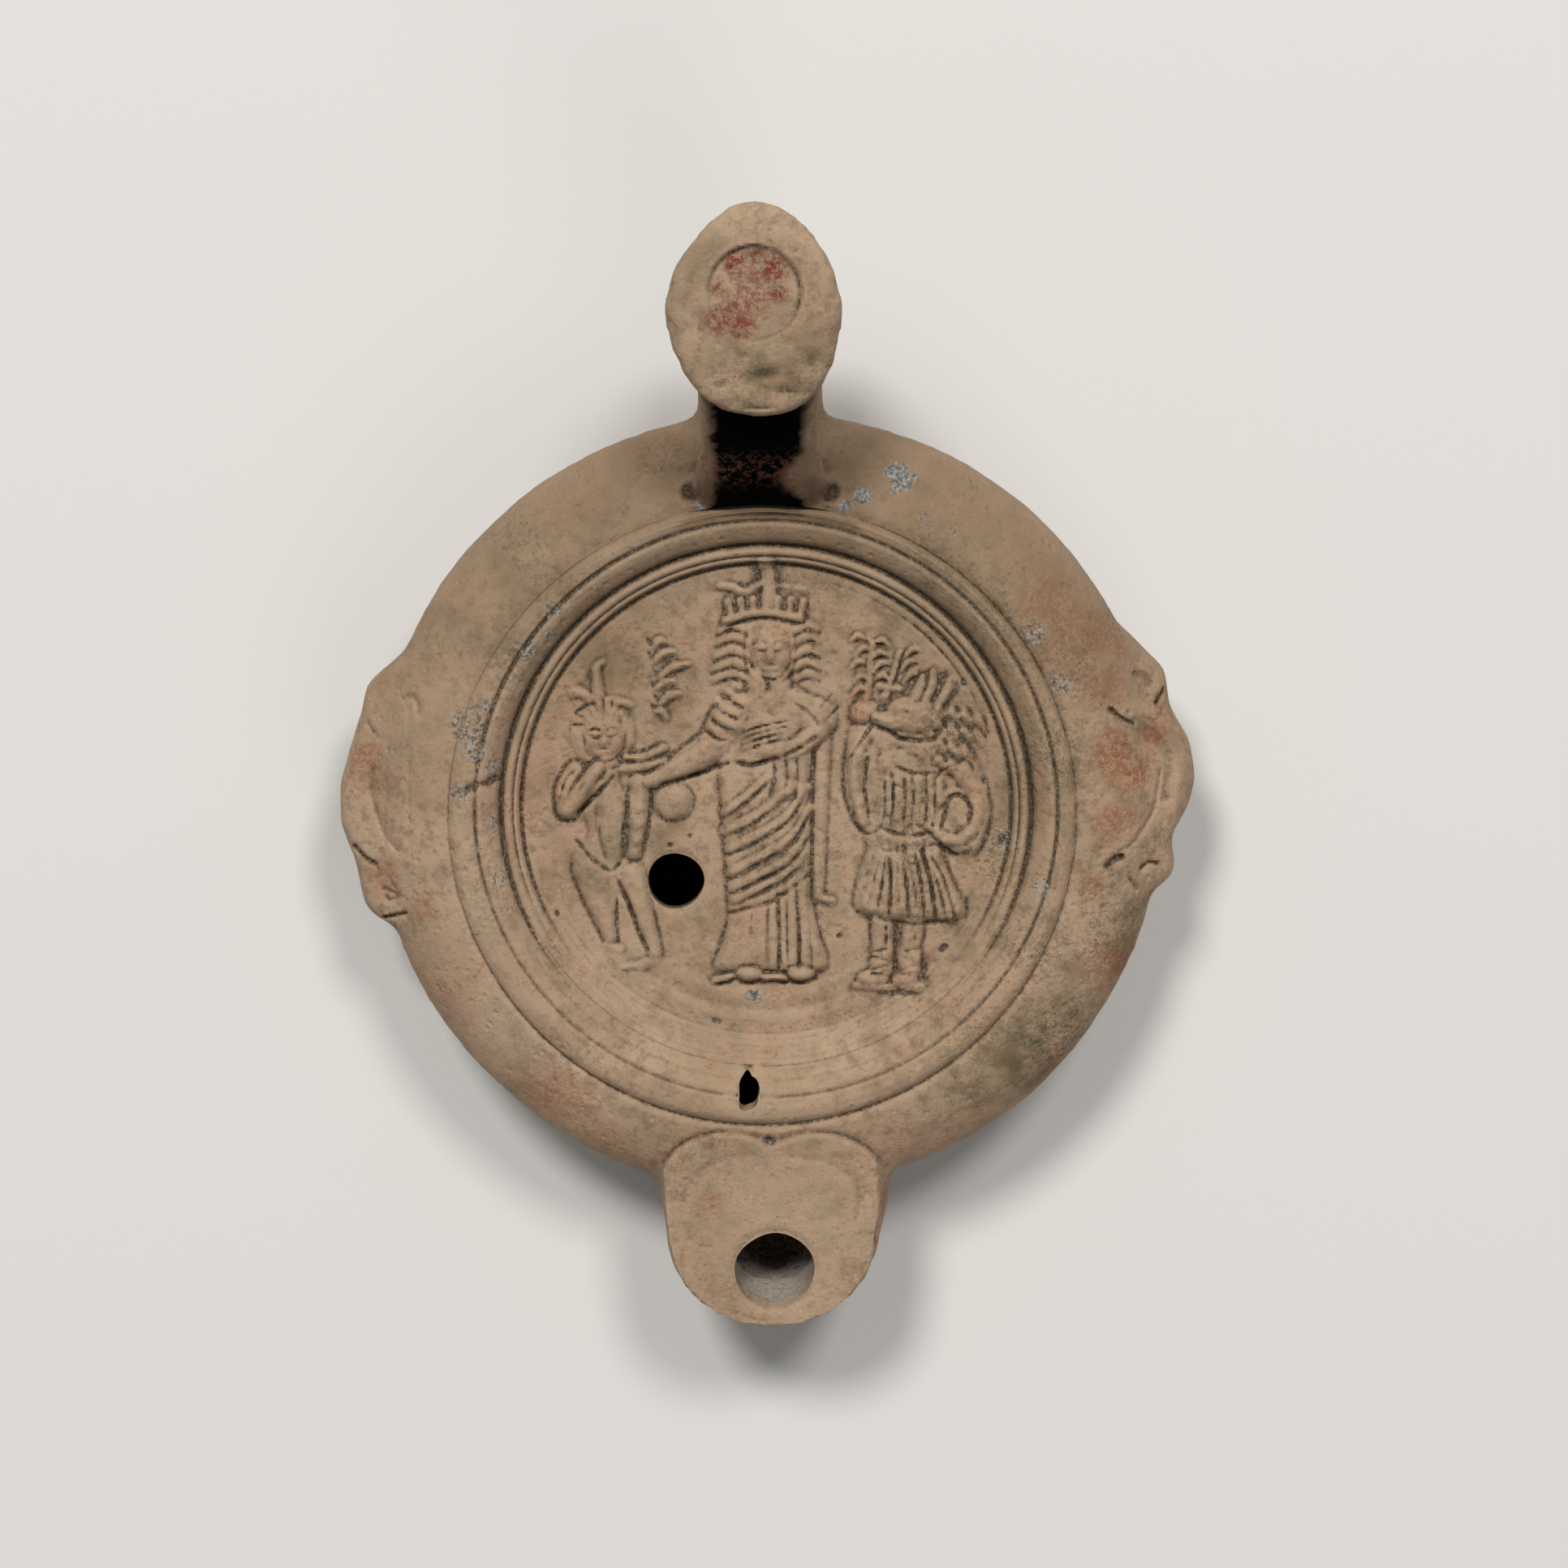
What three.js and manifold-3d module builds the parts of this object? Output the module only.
// A mould-made clay oil lamp: a round hollow body with a sunk picture field, a heart-shaped nozzle,
// two bow-shaped side lugs and a ring handle under an oval thumb plate. Millimetres, +Z up.
// The nozzle points to -Y, the handle to +Y, and the underside rests at z = 0.
import * as THREE from "three";
import { mergeVertices } from "three/addons/utils/BufferGeometryUtils.js";
import Module from "manifold-3d";

// Body
const bodyRadius = 53.3;
const baseRadius = 25;
const seamHeight = 16.5; // the widest level, where the two mould halves meet
const rimHeight = 26.3; // flat band around the picture field
const wall = 3;
const footHeight = 0.8;
const bodySides = 50;
const chamberSides = 26;
const ringShift = new THREE.Vector2(-0.3, 0.6); // the rings sit a little off the body's centre

// Rings around the picture field
const outerGroove = 42;
const bandEdge = 38.8;
const ringGroove = 35.5;
const innerGroove = 33;
const fieldRadius = 28.9;
const fieldHeight = 21.4;
const fieldDish = 0.5; // how much the field rises from its middle to its edge
const fieldThickness = 3.2;

// Holes
const fillingHole = { x: -12.5, y: -9.6, radius: 3.8 };
const airHole = { x: -2.7, y: -37.4, width: 2.8, length: 4.8, taper: 0.32 };
const wickHole = { x: 0.8, y: -62.9, topZ: 23.4, radius: 5.35, lean: 0.26 };

// Nozzle
const nozzle = { x: 0.5, y: -58.5, across: 14.4, along: 13.2, rootY: -40, rootHalf: 13.4, floor: 4.4 };
const heart = { top: -43.1, dip: -44.8, half: 15.1, shoulderY: -50, lobeX: 6.4, step: 0.7 };
const nozzleTop = { rootZ: 25.6, fall: 0.09 }; // the top runs slightly down towards the tip

// Handle
const strap = { width: 12.5, thickness: 5.8, flare: 0.5, flareHeight: 14, steps: 18, sides: 6 };
const plate = { x: -1.7, y: 67.9, across: 11, along: 13.7, thickness: 4.6, z: 43.4, rise: 0.1 };
const plateDish = { x: -1.1, y: 70.2, radius: 6, depth: 0.9 };
const dimple = { x: -1.1, y: 43.2, apart: 18.4, radius: 1.4 };

// Picture field grid
const reliefCells = 44;
const figureHeight = 1.5;
const sink = 0.2; // the slab that carries the figures lies this far under the plain field

const wasm = await Module();
wasm.setup();

// A three.js geometry as a solid for joining and cutting.
function solidOf(geometry) {
  geometry.deleteAttribute("normal");
  geometry.deleteAttribute("uv");
  const merged = mergeVertices(geometry, 1e-4);
  const mesh = new wasm.Mesh({
    numProp: 3,
    vertProperties: merged.attributes.position.array,
    triVerts: new Uint32Array(merged.index.array),
  });
  return new wasm.Manifold(mesh);
}

function geometryOf(solid) {
  const mesh = solid.getMesh();
  const geometry = new THREE.BufferGeometry();
  geometry.setAttribute("position", new THREE.BufferAttribute(mesh.vertProperties, 3));
  geometry.setIndex(new THREE.BufferAttribute(mesh.triVerts, 1));
  return geometry;
}

// Moves every vertex of a geometry by a rule that changes the point it is given.
function shapeBy(geometry, rule) {
  const places = geometry.attributes.position;
  const point = new THREE.Vector3();
  for (let i = 0; i < places.count; i++) {
    point.fromBufferAttribute(places, i);
    rule(point);
    places.setXYZ(i, point.x, point.y, point.z);
  }
  return geometry;
}

// A turned solid about the Z axis from [radius, height] points.
function turned(profile, sides) {
  const points = profile.map(([r, z]) => new THREE.Vector2(r, z));
  return new THREE.LatheGeometry(points, sides).rotateX(Math.PI / 2);
}

function curvePoints(from, a, b, to, steps) {
  const curve = new THREE.CubicBezierCurve(...[from, a, b, to].map(([r, z]) => new THREE.Vector2(r, z)));
  return curve.getPoints(steps).map((p) => [p.x, p.y]);
}

// The plain field's height, where reach goes from 0 at its middle to 1 at its edge.
function fieldLevel(reach) {
  return fieldHeight + fieldDish * Math.min(reach, 1) ** 2;
}

// Outer skin from the underside over the rings to the middle of the plain picture field.
function bodySkin() {
  const belly = curvePoints(
    [baseRadius, footHeight], [38, 2.6], [50.8, 8.5], [bodyRadius, seamHeight], 6,
  );
  const shoulder = curvePoints(
    [bodyRadius, seamHeight], [bodyRadius, 20.5], [49, 24.4], [outerGroove + 0.5, rimHeight - 0.8], 5,
  );
  const rings = [
    [outerGroove, rimHeight - 1.3], [outerGroove - 0.5, rimHeight - 0.6], [bandEdge + 0.4, rimHeight],
    [bandEdge, rimHeight - 0.5], [bandEdge - 0.6, rimHeight - 0.3], [bandEdge - 1.8, rimHeight - 0.8],
    [ringGroove + 0.5, rimHeight - 2], [ringGroove, rimHeight - 3.1],
    [ringGroove - 0.6, rimHeight - 2.5], [innerGroove + 0.8, rimHeight - 2.6],
    [innerGroove, rimHeight - 3.9], [innerGroove - 0.6, rimHeight - 3.8],
    [fieldRadius, fieldHeight + fieldDish + 0.15],
  ];
  const field = [1, 0.7, 0.35, 0].map((reach) => [fieldRadius * reach, fieldLevel(reach)]);
  const profile = [[0, 0], [baseRadius - 1, 0], ...belly, ...shoulder.slice(1), ...rings, ...field];
  return shapeBy(turned(profile, bodySides), (p) => {
    const share = THREE.MathUtils.smoothstep(p.z, seamHeight, fieldHeight - 1);
    p.x += ringShift.x * share;
    p.y += ringShift.y * share;
  });
}

function oilChamber() {
  const belly = curvePoints(
    [baseRadius - 3, wall], [36, 5], [47.6, 10.4], [bodyRadius - wall, seamHeight], 5,
  );
  const roof = fieldHeight - fieldThickness;
  return turned([
    [0, wall], ...belly, [bodyRadius - wall - 2.2, seamHeight + 3.6], [outerGroove + 1, rimHeight - wall - 1.1],
    [bandEdge, rimHeight - wall - 1.6], [ringGroove - 1, roof + 0.6], [0, roof],
  ], chamberSides);
}

// ---- Picture field: raised figures as heights above the field ----

// A rounded bar from a to b whose half width goes from wa to wb.
function bar(p, [ax, ay], [bx, by], wa, wb = wa, height = 1) {
  const dx = bx - ax;
  const dy = by - ay;
  const t = THREE.MathUtils.clamp(((p.x - ax) * dx + (p.y - ay) * dy) / (dx * dx + dy * dy), 0, 1);
  const away = Math.hypot(p.x - ax - t * dx, p.y - ay - t * dy) / THREE.MathUtils.lerp(wa, wb, t);
  return height * Math.sqrt(Math.max(0, 1 - away * away));
}

function oval(p, [cx, cy], rx, ry, height = 1) {
  return height * Math.sqrt(Math.max(0, 1 - ((p.x - cx) / rx) ** 2 - ((p.y - cy) / ry) ** 2));
}

// A flat-topped cloth between two heights, its half width and middle going evenly from top to bottom.
function cloth(p, top, bottom, height = 0.7) {
  const t = (top.y - p.y) / (top.y - bottom.y);
  if (t < 0 || t > 1) return 0;
  const away = Math.abs(p.x - THREE.MathUtils.lerp(top.x, bottom.x, t));
  const edge = THREE.MathUtils.lerp(top.half, bottom.half, t) - away;
  return height * THREE.MathUtils.smoothstep(edge, -0.4, 0.9);
}

// Ridges that repeat across a cloth: along gives the direction in which they are counted.
function ridges(p, along, spacing, depth) {
  return depth * Math.cos((2 * Math.PI * (p.x * along[0] + p.y * along[1])) / spacing);
}

// Strokes either side of a stem, as on a branch or a palm.
function leafRow(p, foot, tip, pairs, spread) {
  let height = bar(p, foot, tip, 0.6, 0.5, 0.4);
  for (let i = 0; i < pairs; i++) {
    const t = (i + 0.5) / pairs;
    const at = [THREE.MathUtils.lerp(foot[0], tip[0], t), THREE.MathUtils.lerp(foot[1], tip[1], t)];
    for (const side of [-1, 1])
      height = Math.max(height, bar(p, at, [at[0] + side * spread, at[1] + spread * 0.7], 0.7, 0.6, 0.5));
  }
  return height;
}

// The goddess in the middle: crown, stepped locks, arm held out, wrapped mantle and long tunic.
function goddess(p) {
  const parts = [
    bar(p, [-0.4, 33.4], [0.2, 28], 1, 1.5, 0.8),
    bar(p, [-5.6, 30.2], [-0.8, 30.6], 0.8, 0.7, 0.5),
    bar(p, [-4.6, 27.4], [4.4, 27.2], 1.5, 1.4, 0.8),
    oval(p, [0.3, 22], 3.1, 4.4, 1.25),
    bar(p, [0.4, 17.6], [0.4, 14], 1.8, 2.6, 0.8),
    bar(p, [-3.2, 15], [4.6, 14.6], 2.2, 2.4, 0.8),
    cloth(p, { x: 0, y: 15, half: 5.2 }, { x: -0.3, y: 5, half: 5 }, 0.8),
    bar(p, [-6.6, 9.2], [-15.6, 4.4], 2.1, 1.2, 0.85),
    oval(p, [-12.8, 1.4], 2.7, 2.6, 0.7),
    bar(p, [8, 13], [4.6, 9.4], 1.6, 1.7, 1),
    bar(p, [4.6, 9.4], [-4, 8.4], 1.7, 1.1, 1.1),
    bar(p, [2.6, 7.6], [2.8, 2.8], 1.4, 1.3, 1.05),
    bar(p, [6.8, 12], [7, -10.6], 0.6, 0.6, 0.45),
    bar(p, [-3.6, -21.4], [-1.6, -22], 1.2, 1, 0.9),
    bar(p, [1.8, -22], [4.6, -22.2], 0.9, 1.1, 0.9),
  ];
  for (let i = 0; i < 5; i++) {
    parts.push(bar(p, [-5.2 - 0.35 * i, 24 - 3 * i], [-3.8 - 0.35 * i, 22.6 - 3 * i], 1.4, 1.2, 0.9));
    parts.push(bar(p, [4.6 + 0.95 * i, 24 - 2.6 * i], [5.8 + 0.75 * i, 23.2 - 2.6 * i], 1.1, 1.1, 0.85));
  }
  const mantle = cloth(p, { x: -0.5, y: 5.4, half: 5.6 }, { x: 0.2, y: -11.6, half: 5.7 }, 0.8);
  if (mantle > 0.4 && p.y - 0.4 * p.x > -12.4) parts.push(mantle + ridges(p, [-0.45, 0.9], 2.7, 0.16));
  const tunic = cloth(p, { x: 0.2, y: -8, half: 5.4 }, { x: 0.2, y: -21.6, half: 6.8 }, 0.5);
  if (tunic > 0.2) parts.push(tunic + ridges(p, [1, 0], 3.2, 0.14));
  return Math.max(...parts);
}

// The child on the left, finger to mouth, with a cloth over one arm.
function child(p) {
  return Math.max(
    oval(p, [-22, 10.6], 3.5, 4, 1.1),
    bar(p, [-22.8, 14.4], [-23, 19.6], 1.1, 0.7, 0.6),
    bar(p, [-26, 16.2], [-23.4, 15], 0.8, 0.9, 0.5),
    bar(p, [-21.6, 15], [-18.2, 14.5], 0.8, 0.7, 0.5),
    bar(p, [-26.6, 0.4], [-20.6, 7], 1.5, 1.3, 1),
    bar(p, [-26.2, 1.4], [-24, 5.4], 1.5, 1.3, 0.7),
    bar(p, [-19.6, 7.6], [-14.4, 8.4], 1.4, 1, 0.8),
    bar(p, [-20.4, 3.6], [-20.2, -4.4], 3.2, 2.8, 0.8),
    bar(p, [-16.8, 4.4], [-17.4, -5.6], 1, 0.9, 0.8),
    bar(p, [-24, -6], [-21.6, -17], 2.1, 1.3, 0.7),
    bar(p, [-18.4, -7.6], [-15.8, -18.6], 1.9, 1.3, 0.7),
    bar(p, [-20.4, -21.4], [-18.2, -21.4], 0.7, 0.7, 0.4),
  );
}

// The dog-headed god on the right, in cuirass and pleated skirt, with a palm and a wreath.
function dogHeadedGod(p) {
  const parts = [
    oval(p, [18.8, 12.4], 3.6, 3.2, 1.3),
    bar(p, [17.4, 11.4], [14.2, 12.8], 1.7, 1.1, 1.1),
    bar(p, [20.2, 15], [20.8, 18.4], 1.3, 0.7, 0.9),
    bar(p, [13.2, 8.2], [12.8, -0.6], 2.3, 1.9, 0.9),
    bar(p, [13.2, -1.4], [16.6, -2.4], 1.2, 1, 0.8),
    bar(p, [13.4, 9], [12.4, 12.6], 1.3, 1, 0.8),
    cloth(p, { x: 19.4, y: 8.6, half: 4.6 }, { x: 18.8, y: -4, half: 3.5 }, 0.9),
    bar(p, [24.6, 7.8], [27.4, 1], 1.7, 1.3, 0.8),
    bar(p, [27.2, -3.4], [20.8, -3.4], 1.1, 1, 0.9),
    bar(p, [15.4, -3.4], [22.8, -4.4], 0.9, 0.9, 1),
    bar(p, [16.2, -14.4], [16, -21], 1.2, 1, 0.7),
    bar(p, [19.6, -14.4], [19.5, -21], 1.2, 1, 0.7),
    bar(p, [13.4, -22.2], [19.8, -22.2], 1, 1, 0.7),
  ];
  for (let turn = 0; turn < 8; turn++) {
    const angle = (turn * Math.PI) / 4;
    const next = angle + Math.PI / 4;
    const onLoop = (a) => [25.4 + 1.9 * Math.cos(a), -1 + 3.1 * Math.sin(a)];
    parts.push(bar(p, onLoop(angle), onLoop(next), 0.8, 0.8, 0.9));
  }
  for (let i = 0; i < 6; i++) {
    const fall = 0.35 * i;
    parts.push(bar(p, [21.4 + fall, 16.6 - 1.7 * i], [24.6 + 0.5 * fall, 17 - 2.1 * i], 0.8, 0.7, 0.8));
  }
  const skirt = cloth(p, { x: 19, y: -4.4, half: 3.8 }, { x: 19.4, y: -13.8, half: 7 }, 0.75);
  if (skirt > 0.3) parts.push(skirt + ridges(p, [1, 0], 2.6, 0.15));
  return Math.max(...parts);
}

function reliefHeight(p) {
  return figureHeight * Math.max(
    goddess(p), child(p), dogHeadedGod(p),
    leafRow(p, [-13.6, 12.6], [-13, 21.6], 4, 1.8),
    leafRow(p, [13.2, 14.2], [14.8, 24], 4, 2.2),
  );
}

// A slab whose top stands above the plain field only where the figures do.
function figures() {
  const side = 2 * fieldRadius;
  const slab = new THREE.BoxGeometry(side, side, 1, reliefCells, reliefCells, 1);
  return shapeBy(slab, (p) => {
    if (p.z < 0) {
      p.z = fieldHeight - 1;
      return;
    }
    const raised = Math.hypot(p.x, p.y) < fieldRadius - 1 ? reliefHeight(p) : 0;
    p.z = fieldLevel(Math.hypot(p.x, p.y) / fieldRadius) + (raised > 0.1 ? raised : -sink);
  }).translate(ringShift.x, ringShift.y, 0);
}

// ---- Nozzle ----

function nozzleBody() {
  const shape = new THREE.Shape();
  shape.moveTo(nozzle.rootHalf, nozzle.rootY);
  shape.bezierCurveTo(16.8, -47, nozzle.across + 1.6, -53, nozzle.x + nozzle.across, nozzle.y);
  shape.absellipse(nozzle.x, nozzle.y, nozzle.across, nozzle.along, 0, -Math.PI, true);
  shape.bezierCurveTo(-nozzle.across - 1, -53, -16.4, -47, -nozzle.rootHalf, nozzle.rootY);
  const geometry = new THREE.ExtrudeGeometry(shape, {
    depth: 1, steps: 5, bevelEnabled: false, curveSegments: 8,
  });
  return shapeBy(geometry, (p) => {
    const turn = (p.z * Math.PI) / 2;
    const out = THREE.MathUtils.clamp((nozzle.rootY - p.y) / (nozzle.rootY - nozzle.y + nozzle.along), 0, 1);
    const narrow = THREE.MathUtils.lerp(0.36, 1, Math.sin(turn) ** 0.85);
    p.x *= narrow;
    p.y = nozzle.rootY + (p.y - nozzle.rootY) * THREE.MathUtils.lerp(narrow, 1, 0.55);
    const top = nozzleTop.rootZ - 0.9 - nozzleTop.fall * (nozzle.rootY - p.y);
    p.z = THREE.MathUtils.lerp(nozzle.floor + 2.5 * out * out, top, 1 - Math.cos(turn));
  });
}

// The raised heart-shaped face of the nozzle.
function heartFace() {
  const { top, dip, half, shoulderY, lobeX } = heart;
  const shape = new THREE.Shape();
  shape.moveTo(0.1, dip);
  shape.bezierCurveTo(1.2, top - 0.2, 3.4, top, lobeX, top);
  shape.bezierCurveTo(11, top, 15.3, top - 3.2, half + 0.6, shoulderY);
  shape.bezierCurveTo(half + 0.6, -53, nozzle.across - 0.1, -56, nozzle.x + nozzle.across - 0.8, nozzle.y);
  shape.absellipse(nozzle.x, nozzle.y, nozzle.across - 0.8, nozzle.along - 0.7, 0, -Math.PI, true);
  shape.bezierCurveTo(-nozzle.across + 0.3, -56, -half, -53, -half, shoulderY);
  shape.bezierCurveTo(-14.6, top - 3.2, -11, top, -lobeX, top);
  shape.bezierCurveTo(-3.4, top, -1, top - 0.2, 0.1, dip);
  const geometry = new THREE.ExtrudeGeometry(shape, {
    depth: 4, bevelEnabled: true, bevelSize: 0.7, bevelOffset: -0.7, bevelThickness: 0.5,
    bevelSegments: 1, curveSegments: 7,
  });
  return shapeBy(geometry, (p) => {
    p.z += nozzleTop.rootZ - 4.5 + heart.step - nozzleTop.fall * (nozzle.rootY - p.y);
  });
}

function nozzleChannel() {
  return new THREE.CapsuleGeometry(6.4, 22, 4, 18).translate(0.6, -49, 15);
}

function upright(radius, height, sides) {
  return new THREE.CylinderGeometry(radius, radius, height, sides).rotateX(Math.PI / 2);
}

// ---- Side lugs: bows that end in a scroll at each end ----

// A lug's outline in the plan, from its rear scroll to its front scroll, on the +X side.
function lug(outline, side) {
  const shape = new THREE.Shape();
  shape.moveTo(43, outline[0][1]);
  shape.lineTo(...outline[0]);
  shape.splineThru(outline.slice(1).map(([x, y]) => new THREE.Vector2(x, y)));
  shape.lineTo(43, outline.at(-1)[1]);
  const geometry = new THREE.ExtrudeGeometry(shape, {
    depth: 5.4, bevelEnabled: true, bevelSize: 0.8, bevelOffset: -0.8, bevelThickness: 0.9,
    bevelSegments: 1, curveSegments: 3,
  });
  shapeBy(geometry, (p) => {
    const out = Math.hypot(p.x, p.y) - 43;
    p.z = p.z > 2.7 ? p.z + 18.2 - 0.42 * out : p.z + 14.2;
  });
  const solid = solidOf(geometry);
  return side > 0 ? solid : solid.mirror([1, 0, 0]);
}

const rightLug = [
  [48, 23.8], [52.4, 20.6], [53.2, 17.6], [52, 15.4], [54, 12.6], [56.6, 8.6], [57.7, 3.9],
  [56.8, -0.6], [54.4, -4.6], [55.2, -7.7], [54.4, -10.4], [50.6, -12.2],
];
const leftLug = [
  [48.6, 20.6], [53, 18.2], [54.4, 14.4], [56.4, 8.2], [58, 1.4], [57.4, -3.6], [55.4, -8.2],
  [55.2, -12.2], [53.6, -14.6], [50.6, -15.4],
];
const scrollPits = [[51.4, -7.6], [50.2, 17.4], [46.8, -5.8], [-52.6, -12]];

function lugHook() {
  const cut = new THREE.BoxGeometry(3.4, 0.8, 4).rotateZ(-0.7).translate(48.2, 12.2, 24.4);
  return solidOf(cut);
}

// ---- Handle ----

function handleStrap() {
  const route = new THREE.CatmullRomCurve3([
    [41.5, 20], [46, 28.5], [51.5, 37], [59.5, 41.8], [68, 40.2], [72, 32.5], [68.5, 24], [60, 18], [48, 15],
  ].map(([y, z]) => new THREE.Vector3(plate.x + 1.2, y, z)));
  const section = new THREE.Shape();
  section.absellipse(0, 0, strap.width / 2, strap.thickness / 2, 0, 2 * Math.PI);
  const geometry = new THREE.ExtrudeGeometry(section, {
    extrudePath: route, steps: strap.steps, bevelEnabled: false, curveSegments: strap.sides,
  });
  const foot = rimHeight - 4;
  return shapeBy(geometry, (p) => {
    const low = 1 - THREE.MathUtils.smoothstep(p.z, foot, foot + strap.flareHeight);
    if (p.y < 60) p.x = plate.x + 1.2 + (p.x - plate.x - 1.2) * (1 + strap.flare * low);
  });
}

function thumbPlate() {
  const shape = new THREE.Shape();
  shape.absellipse(0, 0, plate.across, plate.along, 0, 2 * Math.PI);
  const geometry = new THREE.ExtrudeGeometry(shape, {
    depth: plate.thickness - 2, bevelEnabled: true, bevelSize: 1, bevelOffset: -1,
    bevelThickness: 1, bevelSegments: 2, curveSegments: 14,
  });
  return shapeBy(geometry, (p) => {
    p.z += plate.z + plate.rise * p.y;
    p.x += plate.x;
    p.y += plate.y;
  });
}

// ---- The lamp, one fired piece ----

function lampSolid() {
  let lamp = solidOf(bodySkin()).add(solidOf(figures()));
  const raised = [solidOf(nozzleBody()), solidOf(heartFace()), solidOf(handleStrap()), solidOf(thumbPlate())];
  for (const piece of [...raised, lug(rightLug, 1), lug(leftLug, -1)]) lamp = lamp.add(piece);
  lamp = lamp.subtract(solidOf(oilChamber())).subtract(solidOf(nozzleChannel()));
  const filling = upright(fillingHole.radius, 14, 24).translate(fillingHole.x, fillingHole.y, fieldHeight);
  const air = shapeBy(upright(1, 12, 12), (p) => {
    p.x *= (airHole.width / 2) * (1 - airHole.taper * p.y); // drop-shaped, narrow towards the field
    p.y *= airHole.length / 2;
  });
  air.translate(airHole.x, airHole.y, rimHeight - 3);
  const wick = upright(wickHole.radius, 18, 32).rotateX(wickHole.lean); // runs back towards the chamber
  wick.translate(wickHole.x, wickHole.y, wickHole.topZ);
  const dish = upright(plateDish.radius, 8, 28).rotateX(plate.rise);
  const dishFloor = plate.z + plate.thickness - 1 + plate.rise * (plateDish.y - plate.y) - plateDish.depth;
  dish.translate(plateDish.x, plateDish.y, dishFloor + 4);
  for (const hole of [filling, air, wick, dish]) lamp = lamp.subtract(solidOf(hole));
  for (const side of [-1, 1])
    lamp = lamp.subtract(solidOf(
      upright(dimple.radius, 4, 12).translate(dimple.x + (side * dimple.apart) / 2, dimple.y, 26),
    ));
  for (const [x, y] of scrollPits)
    lamp = lamp.subtract(solidOf(upright(0.9, 4, 10).translate(x, y, 23.5)));
  return lamp.subtract(lugHook());
}

const lamp = new THREE.Group();
const lampBody = new THREE.Mesh(
  geometryOf(lampSolid()),
  new THREE.MeshStandardMaterial({ color: 0xa58c6c, roughness: 0.85, metalness: 0 }),
);
lampBody.name = "lamp_body";
lamp.add(lampBody);

export default lamp;
